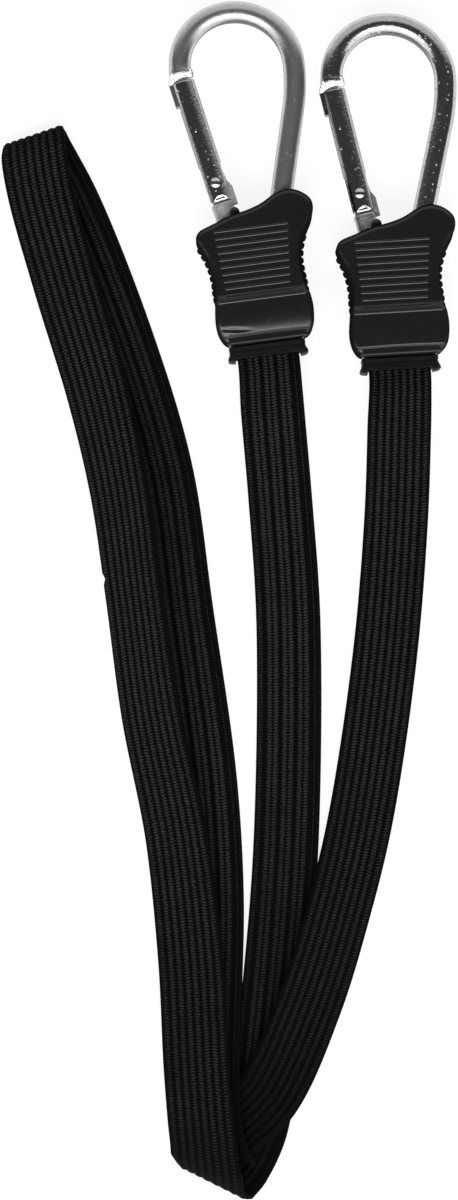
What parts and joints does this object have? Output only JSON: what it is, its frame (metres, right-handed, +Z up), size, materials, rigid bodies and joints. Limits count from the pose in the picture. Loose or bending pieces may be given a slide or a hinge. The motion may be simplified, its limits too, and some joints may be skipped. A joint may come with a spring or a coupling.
{
  "type": "bungee cord",
  "caption": "Flat elastic strap with a moulded fitting at each end, each holding a teardrop hook with a hinged spring gate, for tying down loads.",
  "frame": {"origin": "on the table, under the middle of the box round the two end fittings", "axes": "+X to the right and +Y up the picture, towards the hooks; +Z up from the table, through the covers' thickness"},
  "size_m": [0.1302, 0.3421, 0.014],
  "materials": {
    "elastic_strap": "woven over rubber strands, matte black",
    "hook_metal": "tumbled bright, fine pits",
    "gate_metal": "tumbled bright, fine pits",
    "rivet_steel": "bright",
    "spring_steel": "drawn wire",
    "cover_plastic": "satin moulded, black",
    "collar_plastic": "satin moulded, black",
    "anchor_steel": "plain"
  },
  "bodies": {
    "cord": {"elastic_strap": "elastic_strap", "hook_bar_a": "hook_metal", "gate_rivet_a": "rivet_steel", "front_cover_a": "cover_plastic", "rear_cover_a": "cover_plastic", "mouth_collar_a": "collar_plastic", "strap_pin_a": "anchor_steel", "strap_crimp_a": "anchor_steel", "hook_bar_b": "hook_metal", "gate_rivet_b": "rivet_steel", "front_cover_b": "cover_plastic", "rear_cover_b": "cover_plastic", "mouth_collar_b": "collar_plastic", "strap_pin_b": "anchor_steel", "strap_crimp_b": "anchor_steel"},
    "hook_gate_a": {"gate_a": "gate_metal", "gate_spring_a": "spring_steel"},
    "plunger_a": {"spring_plunger_a": "spring_steel"},
    "hook_gate_b": {"gate_b": "gate_metal", "gate_spring_b": "spring_steel"},
    "plunger_b": {"spring_plunger_b": "spring_steel"}
  },
  "joints": [
    {"name": "gate_a_hinge", "type": "hinge", "parent": "cord", "child": "hook_gate_a", "pos_m": [-0.02748, 0.0012, 0.007], "axis": [0, 0, -1], "range_deg": [0, 36], "stiffness_Nm_per_rad": 0.08, "springref_deg": -28.65},
    {"name": "plunger_a_slide", "type": "slide", "parent": "hook_gate_a", "child": "plunger_a", "axis": [-0.3092, 0.951, 0], "range_m": [0, 0.00126], "deforming": ["gate_spring_a"]},
    {"name": "gate_b_hinge", "type": "hinge", "parent": "cord", "child": "hook_gate_b", "pos_m": [0.01345, -0.00178, 0.007], "axis": [0, 0, -1], "range_deg": [0, 36], "stiffness_Nm_per_rad": 0.08, "springref_deg": -28.65},
    {"name": "plunger_b_slide", "type": "slide", "parent": "hook_gate_b", "child": "plunger_b", "axis": [-0.2438, 0.9698, 0], "range_m": [0, 0.00126], "deforming": ["gate_spring_b"]}
  ],
  "couplings": [
    {"joint": "plunger_a_slide", "follows": "gate_a_hinge", "m_per_rad": 0.002},
    {"joint": "plunger_b_slide", "follows": "gate_b_hinge", "m_per_rad": 0.002}
  ]
}
